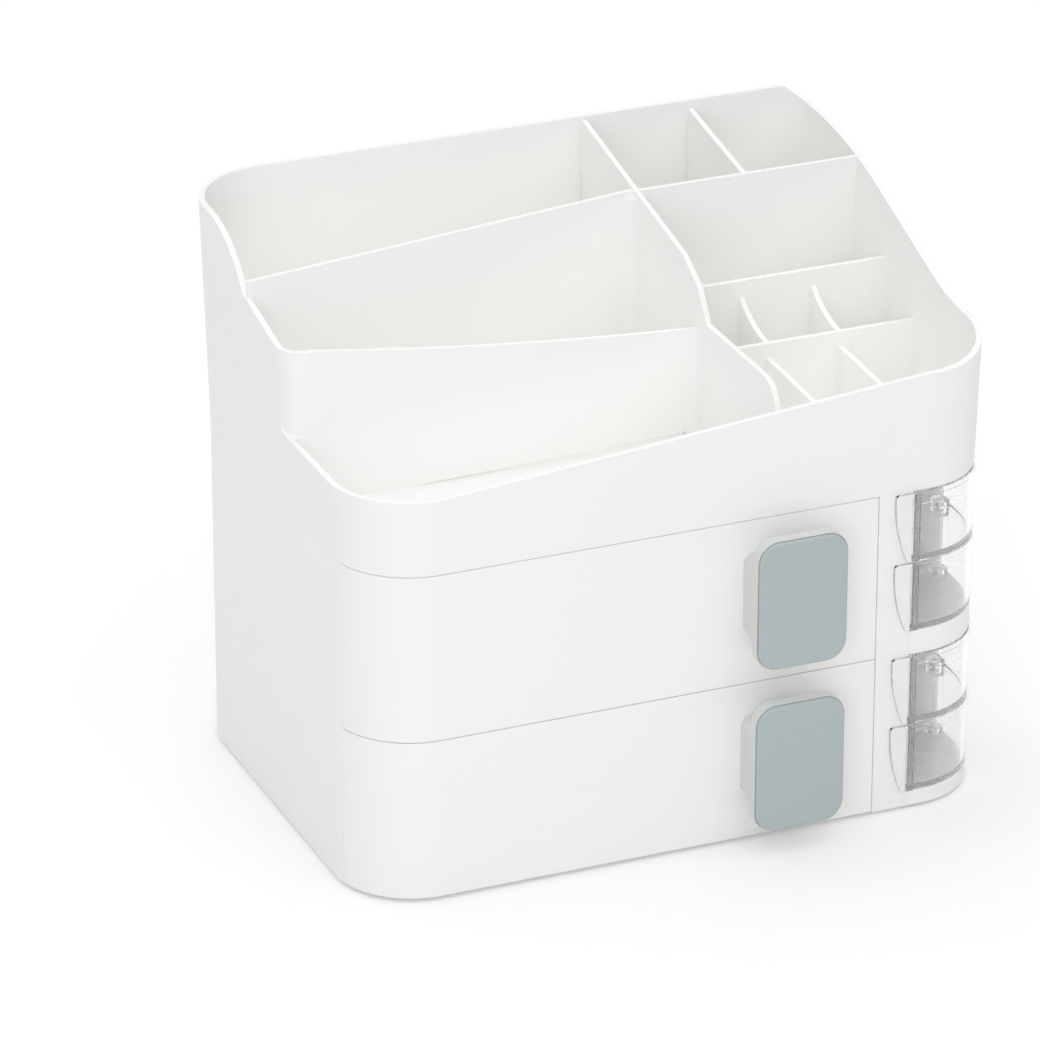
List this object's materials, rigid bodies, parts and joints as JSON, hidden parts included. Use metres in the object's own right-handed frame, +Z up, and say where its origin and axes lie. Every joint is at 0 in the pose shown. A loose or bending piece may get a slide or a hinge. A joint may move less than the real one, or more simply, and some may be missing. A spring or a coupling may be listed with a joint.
{
  "type": "make-up organizer with drawers",
  "caption": "Rounded white desktop organizer with open slanted compartments on top, sliding drawers with grey-faced pulls and clear swing-out corner bins.",
  "frame": {"origin": "middle of the whole footprint, handles included, on the table surface", "axes": "+X to the right seen from the front, +Y to the back, +Z up"},
  "size_m": [0.2756, 0.212, 0.236],
  "materials": {
    "white_plastic": "white moulded plastic with a soft gloss",
    "grey_plastic": "satin grey-blue moulded plastic",
    "clear_plastic": "clear moulded polystyrene",
    "rubber": "soft rubber pads"
  },
  "bodies": {
    "cabinet": {"cabinet_shell": "white_plastic", "corner_column": "white_plastic", "mid_shelf": "white_plastic", "bay_shelf": "white_plastic", "upper_module": "white_plastic", "pivot_pegs": "white_plastic", "feet": "rubber"},
    "drawer_upper": {"drawer_upper": "white_plastic", "handle_upper": "white_plastic", "plate_upper": "grey_plastic"},
    "drawer_lower": {"drawer_lower": "white_plastic", "handle_lower": "white_plastic", "plate_lower": "grey_plastic"},
    "bin_1": {"bin_1": "clear_plastic"},
    "bin_2": {"bin_2": "clear_plastic", "peg_upper": "white_plastic"},
    "bin_3": {"bin_3": "clear_plastic"},
    "bin_4": {"bin_4": "clear_plastic", "peg_lower": "white_plastic"}
  },
  "joints": [
    {"name": "drawer_upper_slide", "type": "slide", "parent": "cabinet", "child": "drawer_upper", "axis": [0, -1, 0], "range_m": [0, 0.145]},
    {"name": "drawer_lower_slide", "type": "slide", "parent": "cabinet", "child": "drawer_lower", "axis": [0, -1, 0], "range_m": [0, 0.145]},
    {"name": "bin_1_swing", "type": "hinge", "parent": "cabinet", "child": "bin_1", "pos_m": [0.13, -0.0469, 0.1242], "axis": [0, 0, 1], "range_deg": [0, 90]},
    {"name": "bin_2_swing", "type": "hinge", "parent": "cabinet", "child": "bin_2", "pos_m": [0.13, -0.0469, 0.094], "axis": [0, 0, 1], "range_deg": [0, 90]},
    {"name": "bin_3_swing", "type": "hinge", "parent": "cabinet", "child": "bin_3", "pos_m": [0.13, -0.0469, 0.0531], "axis": [0, 0, 1], "range_deg": [0, 90]},
    {"name": "bin_4_swing", "type": "hinge", "parent": "cabinet", "child": "bin_4", "pos_m": [0.13, -0.0469, 0.0229], "axis": [0, 0, 1], "range_deg": [0, 90]}
  ]
}
